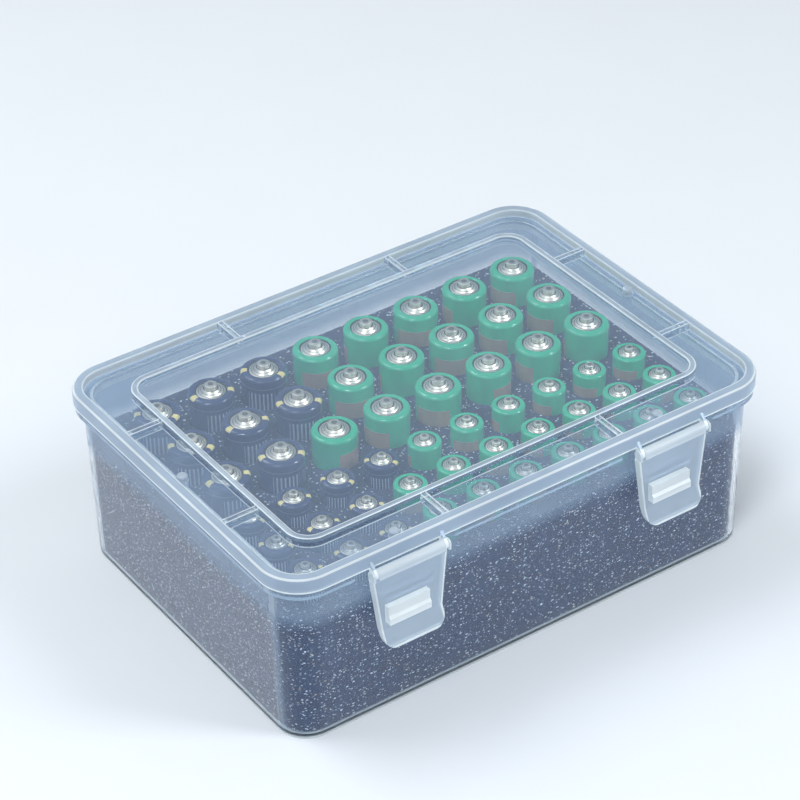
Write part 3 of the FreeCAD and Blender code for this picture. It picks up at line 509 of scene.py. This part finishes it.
def holeList():
    holes = []
    for kind, (rows, radius, floor, sides) in foam["holes"].items():
        cell = cells[kind]
        for row in range(rows):
            for column in range(cell["columns"]):
                centre = Vector(((column - (cell["columns"] - 1) / 2) * cell["pitch"][0],
                                 cell["backRow"] - row * cell["pitch"][1]))
                holes.append({"centre": centre, "radius": radius, "floor": floor, "sides": sides})
    return holes


def outsideHoles(spot, holes, room):
    return all((spot - hole["centre"]).length > hole["radius"] + room for hole in holes)


# Soft waves of a cut face
def waves(point, face):
    width, height, sunk = foam["waves"][face]
    return noise.noise(Vector(point) / width) * height - sunk


# Points between the holes, so that the top face can be uneven
def gridPoints(holes):
    grid, room = foam["grid"], foam["cornerRoom"]
    limitX, limitY = (half - foam["edge"] - foam["clear"] for half in foam["topHalf"])
    spots = []
    for stepX in range(-int(limitX / grid), int(limitX / grid) + 1):
        for stepY in range(-int(limitY / grid), int(limitY / grid) + 1):
            spot = Vector((stepX * grid + (stepY % 2) * grid / 2, stepY * grid))
            inCorner = abs(spot.x) > limitX - room and abs(spot.y) > limitY - room
            if abs(spot.x) <= limitX and not inCorner and outsideHoles(spot, holes, foam["clear"]):
                spots.append(spot)
    return spots


def sew(mesh, upper, lower):
    for k in range(len(upper)):
        after = (k + 1) % len(upper)
        mesh.faces.new((upper[k], upper[after], lower[after], lower[k]))


# The cut top face: a net of triangles. Returns the vertices on the outline and round each hole
def makeTop(mesh, holes):
    loops = [skinRing(foam["top"], foam["edge"])]
    loops += [circlePoints(hole["centre"], hole["radius"] + foam["mouth"], hole["sides"]) for hole in holes]
    points, edges, spans = [], [], []
    for loop in loops:
        first, count = len(points), len(loop)
        points += loop
        edges += [(first + k, first + (k + 1) % count) for k in range(count)]
        spans.append(range(first, first + count))
    net = delaunay_2d_cdt(points + gridPoints(holes), edges, [], 0, 1e-5)
    spots, faces, sources = net[0], net[2], net[3]
    found, made = {}, []
    for index, spot in enumerate(spots):
        made.append(mesh.verts.new((spot.x, spot.y, foam["top"] + waves((spot.x, spot.y, 0), "top"))))
        for source in sources[index]:
            found[source] = made[index]
    # the net also spans the holes, so the triangles within them are left out
    for face in faces:
        middle = sum((spots[k] for k in face), Vector((0, 0))) / len(face)
        if outsideHoles(middle, holes, foam["mouth"] - foam["chord"]):
            mesh.faces.new([made[k] for k in face])
    return [[found[k] for k in span] for span in spans]


# A drafted block with soft cut edges and 54 blind holes, in one skin
def makeFoam():
    holes = holeList()
    mesh = bmesh.new()
    ring, *mouths = makeTop(mesh, holes)
    for hole, rim in zip(holes, mouths):
        for grown, depth, share in (*foam["mouthRings"], (0.0, foam["top"] - hole["floor"], 0)):
            lower = []
            for spot in circlePoints(hole["centre"], hole["radius"] + grown, hole["sides"]):
                height = foam["top"] - depth + share * waves((spot.x, spot.y, 0), "top")
                lower.append(mesh.verts.new((spot.x, spot.y, height)))
            sew(mesh, lower, rim)
            rim = lower
        mesh.faces.new(rim[::-1])
    edge, middle = foam["edge"], foam["edgeMiddle"]
    start, step, count = foam["sideRings"]
    levels = [(foam["top"] - middle, middle), (foam["top"] - edge, 0.0)]
    levels += [(foam["top"] - start - step * k, 0.0) for k in range(count)]
    levels += [(foam["bottom"] + edge, 0.0), (foam["bottom"] + middle, middle), (foam["bottom"], edge)]
    for height, inset in levels:
        lower = []
        for spot in skinRing(height, inset):
            scale = 1 + waves((spot.x, spot.y, height), "side") / spot.length
            lower.append(mesh.verts.new((spot.x * scale, spot.y * scale, height)))
        sew(mesh, ring, lower)
        ring = lower
    mesh.faces.new(ring[::-1])
    bmesh.ops.recalc_face_normals(mesh, faces=mesh.faces)
    bmesh.ops.scale(mesh, vec=(mm, mm, mm), verts=mesh.verts)
    data = bpy.data.meshes.new("foamBlock")
    mesh.to_mesh(data)
    mesh.free()
    # all but the flat floors of the holes and the underside
    for face in data.polygons:
        face.use_smooth = len(face.vertices) <= 4
    item = bpy.data.objects.new("foamBlock", data)
    bpy.context.scene.collection.objects.link(item)
    return item


# Closed-cell polyethylene foam, skived and punched: dull slate with fine pale and warm flecks
def skivedFoam():
    material, tree = newMaterial("skived polyethylene foam")
    place = addNode(tree, "TexCoord").outputs["Object"]
    pores = addNode(tree, "TexVoronoi", None, {"Vector": place, "Scale": 1 / (foam["pores"] * mm)})
    patch = addNode(tree, "TexNoise", None,
                    {"Vector": place, "Scale": 1 / (foam["patch"] * mm), "Detail": 4.0})
    low, high = noiseSpan
    tone = addNode(tree, "MapRange", None,
                   {0: patch.outputs[0], 1: low, 2: high, 3: 0.0, 4: foam["patchShare"]})
    colour = addNode(tree, "Mix", ofColours,
                     {0: tone.outputs[0], 6: foam["body"], 7: foam["cellWall"]}).outputs[2]
    faint, bright = foam["fleckFades"]
    # flecks are under 0.2 mm on the real foam, drawn a little coarser so that they show
    for tint, spacing, radius, shift, lie in foam["flecks"]:
        shifted = addNode(tree, "VectorMath", {"operation": "MULTIPLY_ADD"},
                          {0: place, 1: lie, 2: (shift, shift, shift)}).outputs[0]
        speck = addNode(tree, "TexVoronoi", None, {"Vector": shifted, "Scale": 1 / (spacing * mm)})
        near = band(tree, speck.outputs["Distance"], -1, radius / spacing)
        shine = addNode(tree, "SeparateColor", None, {0: speck.outputs["Color"]})
        strength = addNode(tree, "MapRange", None, {0: shine.outputs[0], 1: faint, 2: bright})
        share = addNode(tree, "Math", {"operation": "MULTIPLY"}, {0: near, 1: strength.outputs[0]})
        colour = addNode(tree, "Mix", ofColours, {0: share.outputs[0], 6: colour, 7: foam[tint]}).outputs[2]
    pitted = addNode(tree, "Bump", None, {
        "Strength": foam["poreStrength"], "Distance": foam["poreDepth"] * mm,
        "Height": pores.outputs["Distance"]})
    matt = addNode(tree, "BsdfPrincipled", None, {
        "Base Color": colour, "Roughness": foam["roughness"], "IOR": foam["ior"],
        "Sheen Weight": foam["sheen"], "Normal": pitted.outputs[0]})
    addNode(tree, "OutputMaterial", None, {"Surface": matt.outputs[0]})
    return material


foamBlock = makeFoam()
foamBlock.data.materials.append(skivedFoam())
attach(foamBlock, "case")
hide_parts("foam_insert")
print("foam made:", len(foamBlock.data.polygons), "faces")


# floor and light

studio = {
    "floor": ("#dae1e8", "#dde4eb"), "floorPatch": 40.0,            # two close tones, patches in mm
    "floorRadius": 2.5, "floorDrop": 0.0002, "floorRoughness": 0.7,             # metres
    "sky": "#f4f6f8", "skyStrength": 0.42,
    "backdrop": (0.95, 0.25), "backdropTop": 0.75,      # strength as seen, at the horizon and overhead
    "fades": (0.4, 1.3),                # metres from the case: the floor turns into the wall
    "lamps": (
        # place, aim (metres), width, height, watts
        ((-0.65, -0.4, 0.9), (0, 0, 0.04), 0.34, 0.34, 5.6),
        ((-0.45, 0.55, 0.95), (0, 0, 0.04), 0.7, 0.5, 6.5),
        ((0.7, -0.8, 0.8), (0, 0, 0.03), 0.34, 0.34, 8.0),
    ),
}


# 1 for the rays that show the background, straight or mirrored or through resin, else 0
def seenRays(tree):
    path = addNode(tree, "LightPath")
    seen = path.outputs["Is Camera Ray"]
    for ray in ("Is Transmission Ray", "Is Glossy Ray"):
        seen = addNode(tree, "Math", {"operation": "MAXIMUM"}, {0: seen, 1: path.outputs[ray]}).outputs[0]
    return seen


# Painted matt board: plain and pale, and far off as bright as the wall behind it
def mattBoard():
    material, tree = newMaterial("matt board")
    place = addNode(tree, "TexCoord").outputs["Object"]
    grain = addNode(tree, "TexNoise", None, {"Vector": place, "Scale": 1 / (studio["floorPatch"] * mm)})
    dark, light = studio["floor"]
    colour = addNode(tree, "Mix", ofColours, {0: grain.outputs[0], 6: dark, 7: light})
    matt = addNode(tree, "BsdfPrincipled", None,
                   {"Base Color": colour.outputs[2], "Roughness": studio["floorRoughness"]})
    away = addNode(tree, "VectorMath", {"operation": "LENGTH"}, {0: place}).outputs["Value"]
    low, high = studio["fades"]
    far = addNode(tree, "MapRange", {"interpolation_type": "SMOOTHSTEP"}, {0: away, 1: low, 2: high})
    share = addNode(tree, "Math", {"operation": "MULTIPLY"}, {0: far.outputs[0], 1: seenRays(tree)})
    glow = addNode(tree, "Emission", None, {"Color": studio["sky"], "Strength": studio["backdrop"][0]})
    board = addNode(tree, "MixShader", None, {0: share.outputs[0], 1: matt.outputs[0], 2: glow.outputs[0]})
    addNode(tree, "OutputMaterial", None, {"Surface": board.outputs[0]})
    return material


def makeFloor():
    mesh = bmesh.new()
    bmesh.ops.create_circle(mesh, cap_ends=True, radius=studio["floorRadius"], segments=96)
    data = bpy.data.meshes.new("floor")
    mesh.to_mesh(data)
    mesh.free()
    item = bpy.data.objects.new("floor", data)
    item.location.z = -studio["floorDrop"]
    data.materials.append(mattBoard())
    bpy.context.scene.collection.objects.link(item)


def makeLamps():
    for number, (place, aim, width, height, watts) in enumerate(studio["lamps"], 1):
        lamp = bpy.data.lights.new(f"softbox{number}", "AREA")
        lamp.shape = "RECTANGLE"
        lamp.size, lamp.size_y, lamp.energy = width, height, watts
        item = bpy.data.objects.new(f"softbox{number}", lamp)
        facing = (Vector(aim) - Vector(place)).to_track_quat("-Z", "Y")
        item.matrix_world = Matrix.Translation(place) @ facing.to_matrix().to_4x4()
        bpy.context.scene.collection.objects.link(item)


# What is seen is a pale wall that darkens to the ceiling, and what lights the case is dimmer
def makeWorld():
    world = bpy.data.worlds.new("studio")
    world.use_nodes = True
    tree = world.node_tree
    tree.nodes.clear()
    upward = addNode(tree, "SeparateXYZ", None, {0: addNode(tree, "TexCoord").outputs["Generated"]})
    low, high = studio["backdrop"]
    wall = addNode(tree, "MapRange", None,
                   {0: upward.outputs[2], 1: 0.0, 2: studio["backdropTop"], 3: low, 4: high})
    strength = addNode(tree, "Mix", ofNumbers,
                       {0: seenRays(tree), 2: studio["skyStrength"], 3: wall.outputs[0]})
    glow = addNode(tree, "Background", None, {"Color": studio["sky"], "Strength": strength.outputs[0]})
    addNode(tree, "OutputWorld", None, {"Surface": glow.outputs[0]})
    bpy.context.scene.world = world


makeFloor()
makeLamps()
makeWorld()
bpy.context.scene.view_settings.view_transform = "Standard"
print("floor and lights set")
